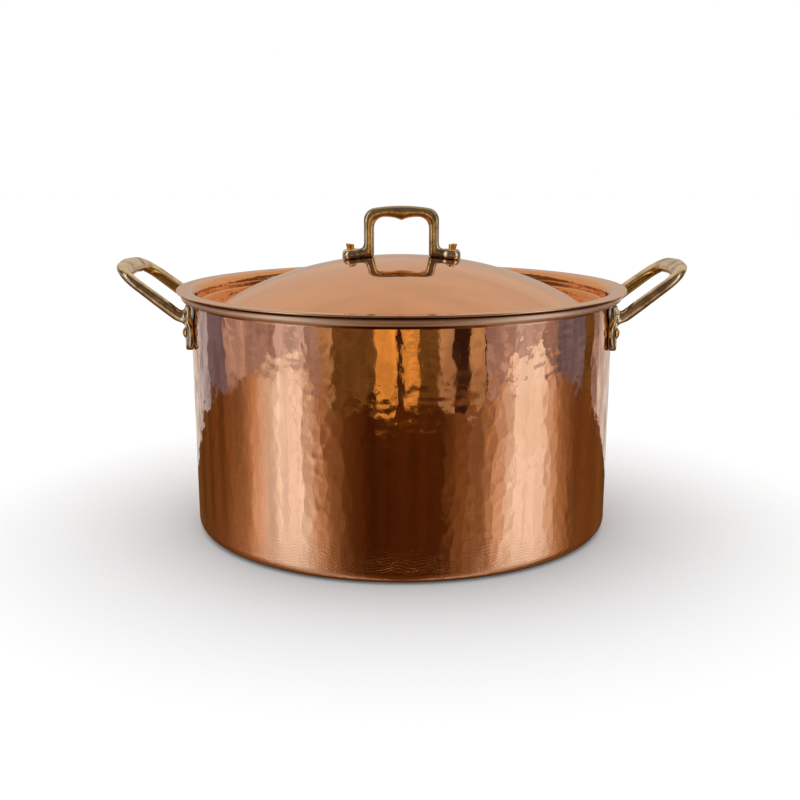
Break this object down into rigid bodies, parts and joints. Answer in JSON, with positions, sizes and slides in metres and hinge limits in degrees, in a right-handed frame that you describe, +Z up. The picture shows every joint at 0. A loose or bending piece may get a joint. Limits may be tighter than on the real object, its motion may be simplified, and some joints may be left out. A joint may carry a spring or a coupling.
{
  "type": "lidded copper cooking pot",
  "caption": "Straight-sided hammered copper pot with a drop-in domed lid, angled brass loop handles riveted to the wall and a square brass handle on the lid.",
  "frame": {"origin": "middle of the pot's base, on the surface that it stands on", "axes": "+Z up along the pot's axis, +X from the middle towards the right side handle, +Y towards the back as in the picture"},
  "size_m": [0.3742, 0.2982, 0.2129],
  "materials": {
    "hammered_copper": "polished",
    "lid_copper": "satin",
    "cast_brass": "satin",
    "rivet_copper": "satin",
    "steel_wire": "satin"
  },
  "bodies": {
    "pot": {"pot_shell": "hammered_copper", "rim_wire": "steel_wire", "left_side_handle": "cast_brass", "right_side_handle": "cast_brass", "left_handle_rivets": "rivet_copper", "right_handle_rivets": "rivet_copper"},
    "lid": {"lid": "lid_copper", "lid_handle": "cast_brass", "lid_handle_rivets": "rivet_copper"}
  },
  "joints": [
    {"name": "lid_lift", "type": "slide", "parent": "pot", "child": "lid", "axis": [0, 0, 1], "range_m": [0, 0.2]}
  ]
}
